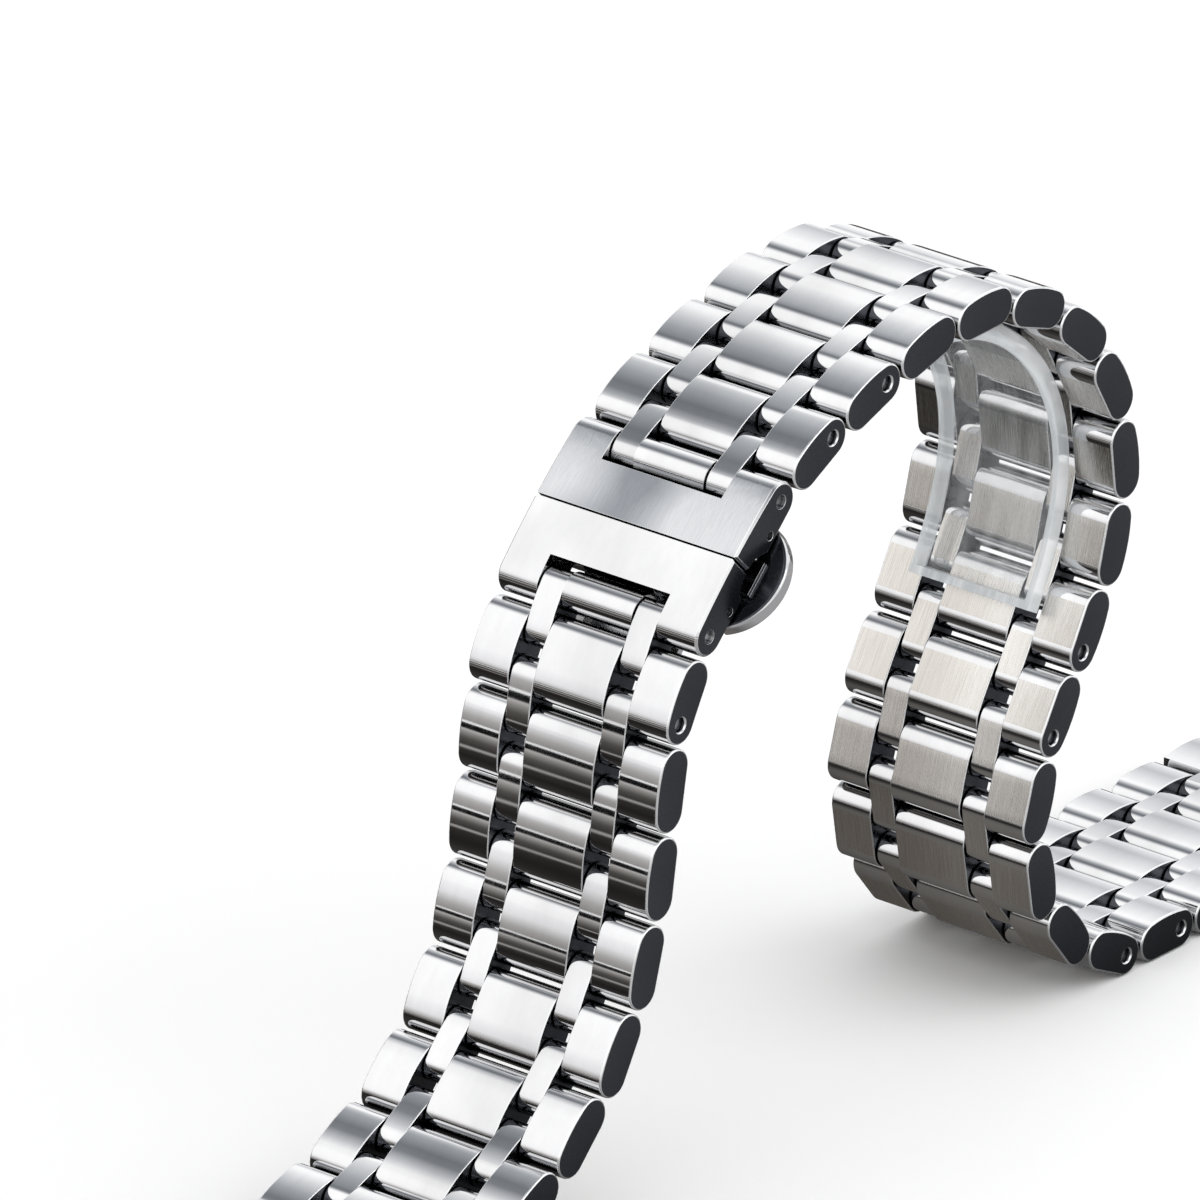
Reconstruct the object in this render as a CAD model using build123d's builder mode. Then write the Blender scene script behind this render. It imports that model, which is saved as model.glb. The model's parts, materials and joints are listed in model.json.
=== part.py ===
# Five link watch bracelet with a butterfly clasp, standing as an arch on its two feet.
# X runs along the arch, Y across the band, Z up. The origin is on the floor, under the
# middle of the arch. Every hinge of the band turns about a line along Y.
from build123d import *
import math
import os

os.makedirs("parts", exist_ok=True)

# Driving dimensions of the band, in millimetres
band_width = 18.0          # across all five lanes, the width between the lugs of the watch
centre_width = 6.3         # middle link
thin_width = 2.1           # thin link on each side of it
lane_gap = 0.08            # side play between neighbouring lanes
pitch = 6.5                # from one row of links to the next
row_gap = 0.28             # between the round ends of two rows at their nearest
link_crown = 0.14          # how far the outer face rises above the round ends
thin_radius = 1.3          # half the thickness of a thin link at its pins
thin_crown = 0.1
rim_chamfer = 0.16         # bevel round the end face of an outer link

# Pins
pin_radius = 0.5
pressed_fit = 0.01         # radial room round a pin that stays put in its link
running_fit = 0.03         # radial room round a pin that a thin link turns on
hidden_pin_wall = 0.8      # metal left between a blind pin and the end face
pin_recess = 0.35          # how deep the ends of a removable pin lie in their holes
pin_end_room = 0.05

# Clasp
arm_pin_reach = 5.5        # from the seam to the pin in the arms of a cover
seam_gap = 0.14            # between the two covers
cover_crown = 0.22
notch_depth_room = 0.12    # between the barrel spacer and the bottom of the notch
cover_plate = 1.45         # thickness of the cover above its pocket
arch_radius = 2.6          # relief in the side walls of a cover, round the button housing
arch_room = 0.2            # between that relief and the housing
arch_drop = 2.9            # from the pins down to the middle of the relief
blade_thickness = 0.55
blade_width = 10.3         # middle blade
blade_crown_drop = 0.2     # how far the curved middle blade sinks towards its ends
blade_hinge_reach = 7.2    # from the seam to the hinge at the end of the middle blade
blade_hinge_drop = 3.1     # and from the pins of the band down to it
blade_fork_reach = 4.9     # from the seam to the bottom of the fork round a wing
knuckle_radius = 0.65
wing_width = 6.5
wing_tongue_width = 4.3
wing_tongue_run = 0.9      # from the cover's hinge to where the wing stops being a flat blade
wing_start_drop = 2.0      # the middle of the wing's blade there, below the pins
cover_hinge_setback = 2.4  # hinge between wing and cover, back from the arm pin to the seam
cover_hinge_drop = 0.75
clasp_pin_radius = 0.32
knuckle_side_room = 0.1    # between the knuckles of one hinge
lug_width = 0.9

# Push buttons and their latch
housing_width = 14.2
button_reach = 11.1        # from the middle of the band to the tip of a button
button_inner_reach = 8.2   # and to the straight inner edge of its head
button_length = 8.4
button_thickness = 1.25
button_room = 0.2          # between a button and the covers above it
button_edge = 0.3          # rounding of the head
stem_width = 2.6
stem_height = 0.95
stem_inner_reach = 5.45
stem_drop = 1.85           # middle of the stems, below the pins
button_travel = 0.9
spring_radius = 0.42
spring_wall = 0.14
hook_width = 0.6
hook_middle_reach = 3.8    # from the middle of the band to the middle of a hook
hook_length = 0.6
hook_start = 0.75          # from the seam
hook_drop = 1.9
slide_room = 0.06          # sliding room round stems and spring

# End links and the retaining cuff
bar_length = 3.6           # full width bar of an end link, along the band
bar_arm_length = 1.25      # arms that the bar sends back beside the last centre link
bar_lip = 0.45             # thin lip of the bar towards the watch
bar_lip_thickness = 1.1
spring_bar_radius = 0.75
spring_bar_drop = 0.3      # bore for the spring bar, below the pins
spring_bar_edge = 1.35     # middle of the bore from the end of the bar
cuff_width = 11.0
cuff_wall = 0.5
cuff_rim_height = 1.5
cuff_rim_wall = 0.6
cuff_lip = 0.7
cuff_room = 0.32           # between the cuff and the inner faces of the links
overrun = 1.0              # extra depth of every cut

# Direction of each row in degrees, going away from the clasp: the left chain walks down
# to the left foot, the right chain over the top, down and out along the floor.
clasp_direction = 45.0
left_directions = [-118.0, -99.0, -98.0, -105.0, -119.0, -134.0, -150.0, -161.0, -174.0, -180.0]
right_directions = [
    28.0, 20.0, 15.0, 2.0, -19.0, -39.0, -59.0, -81.0, -104.0, -118.0,
    -120.0, -106.0, -79.0, -50.0, -25.0, 0.0, 0.0, 0.0, 0.0,
]
# Rows whose far pin can be driven out through open holes, counted from the clasp
left_removable_rows = [1]
right_removable_rows = [1, 2, 10, 11, 15, 16]
cuff_first_row = 2
cuff_last_row = 10

# Sizes that follow
half_run = pitch / 4                       # from the middle of a link to either of its pins
link_radius = half_run - row_gap / 2
thin_inner = centre_width / 2 + lane_gap
thin_outer = thin_inner + thin_width
outer_inner = thin_outer + lane_gap
outer_outer = band_width / 2
blind_reach = outer_outer - hidden_pin_wall
open_reach = outer_outer - pin_recess


def outward(degrees, side):
    """The outer side of the band for a row that walks away from the clasp."""
    turn = math.radians(degrees)
    return Vector(-side * math.sin(turn), 0, side * math.cos(turn))


def along(degrees):
    turn = math.radians(degrees)
    return Vector(math.cos(turn), 0, math.sin(turn))


def row_plane(point, degrees, side):
    """A side view plane: X along the band away from the clasp, Y to the band's outer side."""
    return Plane(origin=point, x_dir=along(degrees), z_dir=(0, -side, 0))


def walk(start, directions):
    """The hinge points of a chain: each row hangs on the far pin of the row before it."""
    points = [start]
    for degrees in directions:
        points.append(points[-1] + along(degrees) * pitch)
    return points


def drop(directions):
    """How far a chain comes down from the clasp's pin."""
    return -sum(math.sin(math.radians(degrees)) for degrees in directions) * pitch


def settle(directions, wanted):
    """Turn the rows between the clasp and the flat foot alike until the foot meets the floor."""
    steeper = -8.0
    step = 16.0
    while step > 1e-9:
        trial = [d if d % 180 == 0 else d + steeper + step for d in directions]
        if drop(trial) < wanted:
            steeper += step
        step /= 2
    return [d if d % 180 == 0 else d + steeper for d in directions]


# The clasp's middle is worked out so that the flat foot of the right chain lies on the floor
clasp_rise = arm_pin_reach * math.sin(math.radians(clasp_direction))
floor_drop = drop(right_directions) - clasp_rise
left_directions = settle(left_directions, floor_drop - clasp_rise)
clasp_height = floor_drop + link_radius
left_start = Vector(0, 0, clasp_height) - along(clasp_direction) * arm_pin_reach
right_start = Vector(0, 0, clasp_height) + along(clasp_direction) * arm_pin_reach
end_reach = pitch / 2 + link_radius + bar_length + bar_lip
left_end = walk(left_start, left_directions)[-1].X - end_reach
right_end = walk(right_start, right_directions)[-1].X + end_reach
middle = Vector((left_end + right_end) / 2, 0, 0)
clasp_point = Vector(0, 0, clasp_height) - middle
left_points = walk(left_start - middle, left_directions)
right_points = walk(right_start - middle, right_directions)


def lane(plane, start, end, centre, radius, crown):
    """One link in the lane from start to end: flat inside, round about its pins, crowned outside."""
    sink = (half_run**2 - crown**2) / (2 * crown)
    reach = sink + crown
    left_pin = centre - half_run
    right_pin = centre + half_run
    left_tip = (left_pin - radius * half_run / reach, radius * sink / reach)
    right_tip = (right_pin + radius * half_run / reach, radius * sink / reach)
    with BuildSketch(plane.offset(start)) as outline:
        with BuildLine():
            Line((left_pin, -radius), (right_pin, -radius))
            ThreePointArc((right_pin, -radius), (right_pin + radius, 0), right_tip)
            ThreePointArc(right_tip, (centre, radius + crown), left_tip)
            ThreePointArc(left_tip, (left_pin - radius, 0), (left_pin, -radius))
        make_face()
    extrude(outline.sketch, amount=end - start)


def rod(plane, place, radius, reach, mode=Mode.ADD):
    """A pin across the band that ends at reach on both sides of its middle."""
    with BuildSketch(plane) as section:
        with Locations(place):
            Circle(radius)
    extrude(section.sketch, amount=reach, both=True, mode=mode)


def bore(plane, place, radius, reach):
    """A hole across the band, as long as such a pin."""
    rod(plane, place, radius, reach, mode=Mode.SUBTRACT)


def thin_pair(plane):
    """The two thin links of a row, from the hinge at the plane's origin to the row's own pin."""
    lane(plane, thin_inner, thin_outer, half_run, thin_radius, thin_crown)
    lane(plane, -thin_outer, -thin_inner, half_run, thin_radius, thin_crown)
    bore(plane, (0, 0), pin_radius + running_fit, outer_inner)


def save(piece, name):
    piece.part.label = name
    export_step(piece.part, "parts/" + name + ".step")


def make_row(plane, name, removable):
    """A row: centre link, two outer links, two thin links and the pins that stay in them."""
    own_pin = (pitch / 2, 0)
    far_pin = (pitch, 0)
    with BuildPart() as row:
        lane(plane, outer_inner, outer_outer, pitch - half_run, link_radius, link_crown)
        lane(plane, -outer_outer, -outer_inner, pitch - half_run, link_radius, link_crown)
        for end_face in (row.faces().sort_by(Axis.Y)[0], row.faces().sort_by(Axis.Y)[-1]):
            chamfer(end_face.edges(), length=rim_chamfer)
        lane(plane, -centre_width / 2, centre_width / 2, pitch - half_run, link_radius, link_crown)
        thin_pair(plane)
        bore(plane, own_pin, pin_radius + pressed_fit, blind_reach + pin_end_room)
        far_hole = outer_outer + overrun if removable else blind_reach + pin_end_room
        bore(plane, far_pin, pin_radius + pressed_fit, far_hole)
        rod(plane, own_pin, pin_radius, blind_reach)
        if not removable:
            rod(plane, far_pin, pin_radius, blind_reach)
    save(row, name)
    if removable:
        with BuildPart() as pin:
            rod(plane, far_pin, pin_radius, open_reach)
        save(pin, name.replace("link", "removable_pin"))


def make_end_link(plane, name):
    """The last piece of a chain: a full width bar with the bore for the watch's spring bar."""
    bar_start = link_radius + row_gap + bar_arm_length
    bar_end = bar_start + bar_length
    bar_top = link_radius + link_crown
    with BuildPart() as end_link:
        with BuildSketch(plane):
            with BuildLine():
                Polyline(
                    (bar_start - bar_arm_length, -link_radius),
                    (bar_end, -link_radius),
                    (bar_end, bar_top - bar_lip_thickness),
                    (bar_end + bar_lip, bar_top - bar_lip_thickness),
                )
                Line((bar_end + bar_lip, bar_top - bar_lip_thickness), (bar_end + bar_lip, link_radius - link_crown))
                ThreePointArc(
                    (bar_end + bar_lip, link_radius - link_crown),
                    ((bar_end + bar_start) / 2, bar_top),
                    (bar_start - bar_arm_length, link_radius - link_crown),
                )
                Line((bar_start - bar_arm_length, link_radius - link_crown), (bar_start - bar_arm_length, -link_radius))
            make_face()
        extrude(amount=outer_outer, both=True)
        with BuildSketch(plane):
            with Locations(((bar_start - overrun) / 2, 0)):
                Rectangle(bar_start + overrun, 2 * (link_radius + overrun))
        extrude(amount=outer_inner, both=True, mode=Mode.SUBTRACT)
        for start in (thin_inner, -thin_outer):
            with BuildSketch(plane.offset(start)):
                with Locations((bar_start / 2, 0)):
                    Rectangle(bar_start + pin_recess, 2 * thin_radius)
                Circle(thin_radius)
            extrude(amount=thin_width)
        bore(plane, (0, 0), pin_radius + running_fit, outer_inner)
        bore(plane, (bar_end - spring_bar_edge, -spring_bar_drop), spring_bar_radius, outer_outer + overrun)
    save(end_link, name)


cover_hinge_reach = arm_pin_reach - cover_hinge_setback
wing_slope_start = cover_hinge_reach + wing_tongue_run
cover_pin_place = (cover_hinge_reach, -cover_hinge_drop)
blade_pin_place = (blade_hinge_reach, -blade_hinge_drop)
barrel_radius = link_radius - pressed_fit
notch_start = arm_pin_reach - barrel_radius - notch_depth_room
pocket_roof = link_radius - cover_plate
lug_inner = wing_tongue_width / 2 + knuckle_side_room
lug_outer = lug_inner + lug_width
hook_inner = hook_middle_reach - hook_width / 2
hook_outer = hook_middle_reach + hook_width / 2


def make_cover(plane, name):
    """One half of the clasp's top: two arms with the band's pin, and a pocket for the mechanism."""
    with BuildPart() as cover:
        with BuildSketch(plane):
            with BuildLine():
                Line((seam_gap / 2, -link_radius), (arm_pin_reach, -link_radius))
                ThreePointArc(
                    (arm_pin_reach, -link_radius), (arm_pin_reach + link_radius, 0), (arm_pin_reach, link_radius)
                )
                crown_middle = (arm_pin_reach + seam_gap) / 2
                ThreePointArc(
                    (arm_pin_reach, link_radius),
                    (crown_middle, link_radius + cover_crown * 3 / 4),
                    (seam_gap / 2, link_radius + cover_crown),
                )
                Line((seam_gap / 2, link_radius + cover_crown), (seam_gap / 2, -link_radius))
            make_face()
        extrude(amount=outer_outer, both=True)
        for end_face in (cover.faces().sort_by(Axis.Y)[0], cover.faces().sort_by(Axis.Y)[-1]):
            chamfer(end_face.edges(), length=rim_chamfer)
        with BuildSketch(plane):
            with Locations((notch_start + band_width / 2, 0)):
                Rectangle(band_width, band_width)
        extrude(amount=outer_inner, both=True, mode=Mode.SUBTRACT)
        with BuildSketch(plane):
            with Locations((0, pocket_roof - band_width / 2)):
                Rectangle(band_width, band_width)
        extrude(amount=outer_inner, both=True, mode=Mode.SUBTRACT)
        with BuildSketch(plane):
            with Locations((0, -arch_drop)):
                Circle(arch_radius)
        extrude(amount=outer_outer + overrun, both=True, mode=Mode.SUBTRACT)
        lug_height = cover_hinge_drop + pocket_roof + link_crown
        for start in (lug_inner, -lug_outer):
            with BuildSketch(plane.offset(start)):
                with Locations(cover_pin_place):
                    Circle(knuckle_radius)
                with Locations((cover_hinge_reach, -cover_hinge_drop + lug_height / 2)):
                    Rectangle(2 * knuckle_radius, lug_height)
            extrude(amount=lug_width)
        for start in (hook_inner, -hook_outer):
            with BuildSketch(plane.offset(start)):
                with Locations((hook_start + hook_length / 2, (pocket_roof + link_crown - hook_drop) / 2)):
                    Rectangle(hook_length, pocket_roof + link_crown + hook_drop)
            extrude(amount=hook_width)
        bore(plane, (arm_pin_reach, 0), pin_radius + pressed_fit, outer_outer + overrun)
        bore(plane, cover_pin_place, clasp_pin_radius + pressed_fit, outer_outer + overrun)
    save(cover, name)


def make_wing(plane, name):
    """The blade between the middle blade's end and the cover, with a knuckle at each end."""
    slope = Vector(blade_hinge_reach - wing_slope_start, wing_start_drop - blade_hinge_drop)
    across = Vector(-slope.Y, slope.X).normalized() * (blade_thickness / 2)
    near = Vector(wing_slope_start, -wing_start_drop)
    far = Vector(*blade_pin_place)
    tip = Vector(*cover_pin_place)
    with BuildPart() as wing:
        with BuildSketch(plane):
            with BuildLine():
                Polyline(near + across, near - across, far - across, far + across, close=True)
            make_face()
            with Locations(blade_pin_place):
                Circle(knuckle_radius)
        extrude(amount=wing_width / 2, both=True)
        with BuildSketch(plane):
            rise = (tip - near).normalized()
            beside = Vector(-rise.Y, rise.X) * (blade_thickness * 3 / 4)
            root = near + slope.normalized() * blade_thickness
            with BuildLine():
                Polyline(tip + beside, near + beside, root - across, root + across, tip - beside, close=True)
            make_face()
            with Locations(cover_pin_place):
                Circle(knuckle_radius - knuckle_side_room)
        extrude(amount=wing_tongue_width / 2, both=True)
        bore(plane, blade_pin_place, clasp_pin_radius + running_fit, band_width)
        bore(plane, cover_pin_place, clasp_pin_radius + running_fit, band_width)
    save(wing, name)


blade_mid_drop = blade_hinge_drop - blade_crown_drop
housing_floor = -blade_mid_drop + blade_thickness / 2


def make_middle_blade(plane, name):
    """The clasp's base: a curved blade with a forked knuckle at each end for the wings."""
    half = blade_thickness / 2
    with BuildPart() as blade:
        with BuildSketch(plane):
            with BuildLine():
                ThreePointArc(
                    (-blade_hinge_reach, -blade_hinge_drop + half),
                    (0, -blade_mid_drop + half),
                    (blade_hinge_reach, -blade_hinge_drop + half),
                )
                Line((blade_hinge_reach, -blade_hinge_drop + half), (blade_hinge_reach, -blade_hinge_drop - half))
                ThreePointArc(
                    (blade_hinge_reach, -blade_hinge_drop - half),
                    (0, -blade_mid_drop - half),
                    (-blade_hinge_reach, -blade_hinge_drop - half),
                )
                Line((-blade_hinge_reach, -blade_hinge_drop - half), (-blade_hinge_reach, -blade_hinge_drop + half))
            make_face()
            with Locations(blade_pin_place, (-blade_hinge_reach, -blade_hinge_drop)):
                Circle(knuckle_radius)
        extrude(amount=blade_width / 2, both=True)
        fork_middle = blade_fork_reach + band_width / 2
        with BuildSketch(plane):
            with Locations((fork_middle, 0), (-fork_middle, 0)):
                Rectangle(band_width, band_width)
        extrude(amount=wing_width / 2 + knuckle_side_room, both=True, mode=Mode.SUBTRACT)
        for place in (blade_pin_place, (-blade_hinge_reach, -blade_hinge_drop)):
            bore(plane, place, clasp_pin_radius + pressed_fit, band_width)
    save(blade, name)


def make_housing(plane, name):
    """The button housing on the middle blade, with a channel for the stems and slots for the hooks."""
    with BuildPart() as housing:
        with BuildSketch(plane):
            with Locations((0, -arch_drop)):
                Circle(arch_radius - arch_room)
            with Locations((0, housing_floor - band_width / 2)):
                Rectangle(band_width, band_width, mode=Mode.SUBTRACT)
        extrude(amount=housing_width / 2, both=True)
        channel_width = stem_width + 2 * slide_room
        channel_height = stem_height + 2 * slide_room
        channel_start = stem_inner_reach - button_travel - slide_room
        for start in (channel_start, -channel_start - band_width):
            with BuildSketch(plane.offset(start)):
                with Locations((0, -stem_drop)):
                    Rectangle(channel_width, channel_height)
            extrude(amount=band_width, mode=Mode.SUBTRACT)
        bore(plane, (0, -stem_drop), spring_radius + slide_room, band_width)
        slot_length = arch_radius - hook_start
        for start in (hook_inner - slide_room, -hook_outer - slide_room):
            with BuildSketch(plane.offset(start)):
                for middle_x in (hook_start - slide_room + slot_length / 2, -hook_start + slide_room - slot_length / 2):
                    with Locations((middle_x, -hook_drop - slide_room + band_width / 2)):
                        Rectangle(slot_length, band_width)
            extrude(amount=hook_width + 2 * slide_room, mode=Mode.SUBTRACT)
    save(housing, name)


def make_button(hand, name):
    """A half moon push button whose stem slides in the housing; hand is the side of the band."""
    up = outward(clasp_direction, 1)
    head_top = -link_radius - button_room
    head_plane = Plane(clasp_point + up * (head_top - button_thickness), along(clasp_direction), up)
    stem_plane = Plane(clasp_point - up * (stem_drop + stem_height / 2), along(clasp_direction), up)
    stem_length = button_inner_reach - stem_inner_reach + overrun
    with BuildPart() as button:
        with BuildSketch(head_plane):
            with BuildLine():
                Line((-button_length / 2, hand * button_inner_reach), (button_length / 2, hand * button_inner_reach))
                ThreePointArc(
                    (button_length / 2, hand * button_inner_reach),
                    (0, hand * button_reach),
                    (-button_length / 2, hand * button_inner_reach),
                )
            make_face()
        extrude(amount=button_thickness)
        rims = button.edges().filter_by(GeomType.CIRCLE)
        fillet(rims, radius=button_edge)
        with BuildSketch(stem_plane):
            with Locations((0, hand * (stem_inner_reach + stem_length / 2))):
                Rectangle(stem_width, stem_length)
        extrude(amount=stem_height)
    save(button, name)


def make_cuff(name):
    """The clear retaining cuff: a channel that follows the inner side of the rows it holds."""
    spans = range(cuff_first_row - 1, cuff_last_row)

    def side_line(depth):
        """Arcs that touch every row of the cuff at its middle, at this depth under the pins."""
        points = []
        for row in spans:
            degrees = right_directions[row]
            inner_side = outward(degrees, 1) * -depth
            points.append(right_points[row] + along(degrees) * (pitch / 2) + inner_side)
        first = along(right_directions[spans[0]]) * -half_run
        last = along(right_directions[spans[-1]]) * half_run
        return points, points[0] + first, points[-1] + last

    flat = Plane(origin=(0, 0, 0), x_dir=(1, 0, 0), z_dir=(0, -1, 0))

    def strip(near_depth, far_depth, start, end):
        with BuildSketch(flat.offset(start)) as outline:
            with BuildLine():
                edges = []
                for depth in (near_depth, far_depth):
                    points, first, last = side_line(depth)
                    Line((first.X, first.Z), (points[0].X, points[0].Z))
                    for here, there, row in zip(points, points[1:], spans):
                        heading = along(right_directions[row])
                        TangentArc((here.X, here.Z), (there.X, there.Z), tangent=(heading.X, heading.Z))
                    Line((points[-1].X, points[-1].Z), (last.X, last.Z))
                    edges.append((first, last))
                for near_corner, far_corner in zip(*edges):
                    Line((near_corner.X, near_corner.Z), (far_corner.X, far_corner.Z))
            make_face()
        extrude(outline.sketch, amount=end - start)

    outer_depth = link_radius + cuff_room
    with BuildPart() as cuff:
        strip(outer_depth, outer_depth + cuff_wall, -cuff_width / 2, cuff_width / 2)
        strip(outer_depth, outer_depth + cuff_rim_height, -cuff_width / 2, -cuff_width / 2 + cuff_rim_wall)
        strip(outer_depth, outer_depth + cuff_rim_height, cuff_width / 2 - cuff_rim_wall, cuff_width / 2)
        for row, turn_back in ((spans[0], -1), (spans[-1], 1)):
            degrees = right_directions[row]
            lip_point = right_points[row] + along(degrees) * (pitch / 2 + turn_back * (half_run - cuff_lip / 2))
            with BuildSketch(row_plane(lip_point, degrees, 1)):
                with Locations((0, -outer_depth - cuff_rim_height / 2)):
                    Rectangle(cuff_lip, cuff_rim_height)
            extrude(amount=cuff_width / 2, both=True)
    save(cuff, name)


# The two chains of rows, with their end links
chains = (
    ("a", -1, left_points, left_directions, left_removable_rows),
    ("b", 1, right_points, right_directions, right_removable_rows),
)
for letter, side, points, directions, removable_rows in chains:
    for count, degrees in enumerate(directions, start=1):
        plane = row_plane(points[count - 1], degrees, side)
        make_row(plane, f"link_{letter}{count:02d}", count in removable_rows)
    make_end_link(row_plane(points[-1], directions[-1], side), "end_link_" + letter)

# The clasp, one half on each side of the seam
for letter, side, turn in (("a", -1, 180.0), ("b", 1, 0.0)):
    plane = row_plane(clasp_point, clasp_direction + turn, side)
    make_cover(plane, "cover_" + letter)
    make_wing(plane, "wing_" + letter)
    with BuildPart() as arm_pin:
        rod(plane, (arm_pin_reach, 0), pin_radius, open_reach)
    save(arm_pin, "arm_pin_" + letter)
    with BuildPart() as barrel:
        rod(plane, (arm_pin_reach, 0), barrel_radius, centre_width / 2)
        bore(plane, (arm_pin_reach, 0), pin_radius + running_fit, band_width)
    save(barrel, "barrel_" + letter)
    with BuildPart() as cover_pin:
        rod(plane, cover_pin_place, clasp_pin_radius, open_reach)
    save(cover_pin, "cover_pin_" + letter)
    with BuildPart() as blade_pin:
        rod(plane, blade_pin_place, clasp_pin_radius, blade_width / 2)
    save(blade_pin, "blade_pin_" + letter)

clasp_plane = row_plane(clasp_point, clasp_direction, 1)
make_middle_blade(clasp_plane, "middle_blade")
make_housing(clasp_plane, "button_housing")
make_button(-1, "button_near")
make_button(1, "button_far")
with BuildPart() as spring:
    rod(clasp_plane, (0, -stem_drop), spring_radius, stem_inner_reach - slide_room)
    bore(clasp_plane, (0, -stem_drop), spring_radius - spring_wall, band_width)
save(spring, "button_spring")
make_cuff("cuff")

print("clasp", clasp_point, "left rows", [round(d, 2) for d in left_directions])
print("left foot", left_points[-1], "right foot", right_points[-1])
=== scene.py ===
# %% [markdown]
# # A five link watch bracelet, dressed in Blender
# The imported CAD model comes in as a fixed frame. Each row of links gets a finer mesh with its own
# finishes on the crown, the inner side and the end faces, and it moves with its CAD body.

# %% The frame, and the box that it fills
import bpy
import bmesh
import json
import math
from mathutils import Matrix, Vector
from mathutils.geometry import delaunay_2d_cdt

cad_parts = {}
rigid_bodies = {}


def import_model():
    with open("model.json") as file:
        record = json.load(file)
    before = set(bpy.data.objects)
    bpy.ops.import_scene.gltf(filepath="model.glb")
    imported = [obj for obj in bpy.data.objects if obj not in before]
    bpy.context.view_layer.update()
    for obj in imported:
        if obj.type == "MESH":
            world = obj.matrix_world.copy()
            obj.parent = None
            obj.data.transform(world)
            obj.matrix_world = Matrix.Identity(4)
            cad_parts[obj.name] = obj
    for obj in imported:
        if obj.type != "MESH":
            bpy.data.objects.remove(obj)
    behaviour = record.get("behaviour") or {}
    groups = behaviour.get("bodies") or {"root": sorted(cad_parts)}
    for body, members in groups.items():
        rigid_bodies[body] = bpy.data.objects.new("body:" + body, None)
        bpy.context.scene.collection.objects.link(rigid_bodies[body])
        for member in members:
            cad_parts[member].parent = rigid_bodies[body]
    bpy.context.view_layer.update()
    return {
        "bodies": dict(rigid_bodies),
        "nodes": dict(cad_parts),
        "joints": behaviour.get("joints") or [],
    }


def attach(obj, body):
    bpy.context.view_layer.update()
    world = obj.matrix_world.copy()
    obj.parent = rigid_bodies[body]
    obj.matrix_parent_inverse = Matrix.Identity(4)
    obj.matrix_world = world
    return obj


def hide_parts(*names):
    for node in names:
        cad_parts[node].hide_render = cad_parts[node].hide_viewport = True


MM = 0.001
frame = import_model()


# %% [markdown]
# ## Sizes
# The links repeat the sizes of the CAD source, in millimetres. They could be measured on the
# frame's meshes, but a table of sizes is easier to read. Meshes are written in millimetres and
# scaled to metres once, when they are finished.

# %% Sizes of the links
PITCH = 6.5
HALF_RUN = PITCH / 4
LINK_RADIUS, LINK_CROWN = 1.485, 0.14
THIN_RADIUS, THIN_CROWN = 1.3, 0.1
CENTRE_HALF = 3.15
THIN_INNER, THIN_OUTER = 3.23, 5.33
OUTER_INNER, OUTER_OUTER = 5.41, 9.0
PIN_RADIUS, PIN_REACH = 0.5, 8.2
print("band", 2 * OUTER_OUTER, "mm wide, rows", PITCH, "mm apart")

# %% [markdown]
# ## Colour and node helpers
# Colours are written as on a screen and turned to linear light in one place. A shader could be
# wired by hand in the editor; here `add_node` makes a node of any kind, sets its values, links its
# inputs and fills its colour ramp in one call, so that a whole finish fits in a few lines.


# %% Nodes in one call
def linear(code):
    """A hex colour as linear RGBA, by the sRGB curve."""
    parts = [int(code[i:i + 2], 16) / 255 for i in (1, 3, 5)]
    return [p / 12.92 if p <= 0.04045 else ((p + 0.055) / 1.055) ** 2.4 for p in parts] + [1.0]


def add_node(tree, kind, links=None, stops=(), **values):
    """links gives sockets their sources, stops fills a colour ramp with (position, hex colour), and
    values sets properties or sockets, with _ for a space."""
    node = tree.nodes.new(kind)
    for name, value in values.items():
        if hasattr(node, name):
            setattr(node, name, value)
        else:
            node.inputs[name.replace("_", " ")].default_value = value
    for name, source in (links or {}).items():
        tree.links.new(source, node.inputs[name])
    if stops:
        points = node.color_ramp.elements
        while len(points) < len(stops):
            points.new(0.5)
        for point, (position, code) in zip(points, stops):
            point.position = position
            point.color = linear(code)
    return node


def new_material(name):
    material = bpy.data.materials.new(name)
    material.use_nodes = True
    tree = material.node_tree
    shader = next(n for n in tree.nodes if n.type == "BSDF_PRINCIPLED")
    return material, tree, shader


print("mid grey in linear light", round(linear("#808080")[0], 3))

# %% [markdown]
# ## Patterns
# Real finishes are never one flat colour. Each pattern below is a noise in the piece's own
# places, so it stays on the metal when the piece moves, and its fineness is given per millimetre.
# An image texture would need unwrapped meshes; a noise needs none.

# %% Places for the patterns
NOISE_SPAN = (0.3, 0.7)


def stretched(tree, per_mm):
    """Places on the piece itself, so that a noise is this fine per mm along X, Y and Z."""
    spot = add_node(tree, "ShaderNodeTexCoord").outputs["Object"]
    scale = [value / MM for value in per_mm]
    return add_node(tree, "ShaderNodeMapping", {"Vector": spot}, Scale=scale).outputs["Vector"]


print("a noise mostly stays within", NOISE_SPAN)

# %% [markdown]
# ## Steel
# All the metal is one stainless steel, 316L, and only its finish changes. A buffed face is a mirror
# with faint wiping marks, a brushed face has grain from an abrasive belt, and a blasted face is
# even and painted dark, as painted shade. Broken edges are the brightest lines of all, their steel
# painted paler as a painted highlight, and a drawn pin has short marks along its length. The
# crevices of every piece are painted darker, as painted shade. That could be painted by hand, but
# Blender's Ambient Occlusion node finds the crevices of every piece.
#
# A belt of 320 grit cuts its lines about 0.03 mm apart, and a buffing wheel's marks are finer
# still. Neither would show in a picture of the whole band, so the lines are drawn 0.04 to 0.06 mm
# apart, and the wheel's marks as smudges of 2 to 4 mm. Patches of about a centimetre, one or two
# rows long, are where the wheel or belt bore less hard.

# %% Steel in its finishes
# The steel is painted darker within this distance of a crevice, over this span of the Ambient
# Occlusion value: painted shade.
CREVICE, CREVICE_SHADE_SPAN = 0.9 * MM, (0.12, 0.62)
PATCHES, PATCH_SPAN = (0.09, 0.09, 0.09), (0.38, 0.6)
GRAIN_DEPTH = 0.01 * MM


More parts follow.
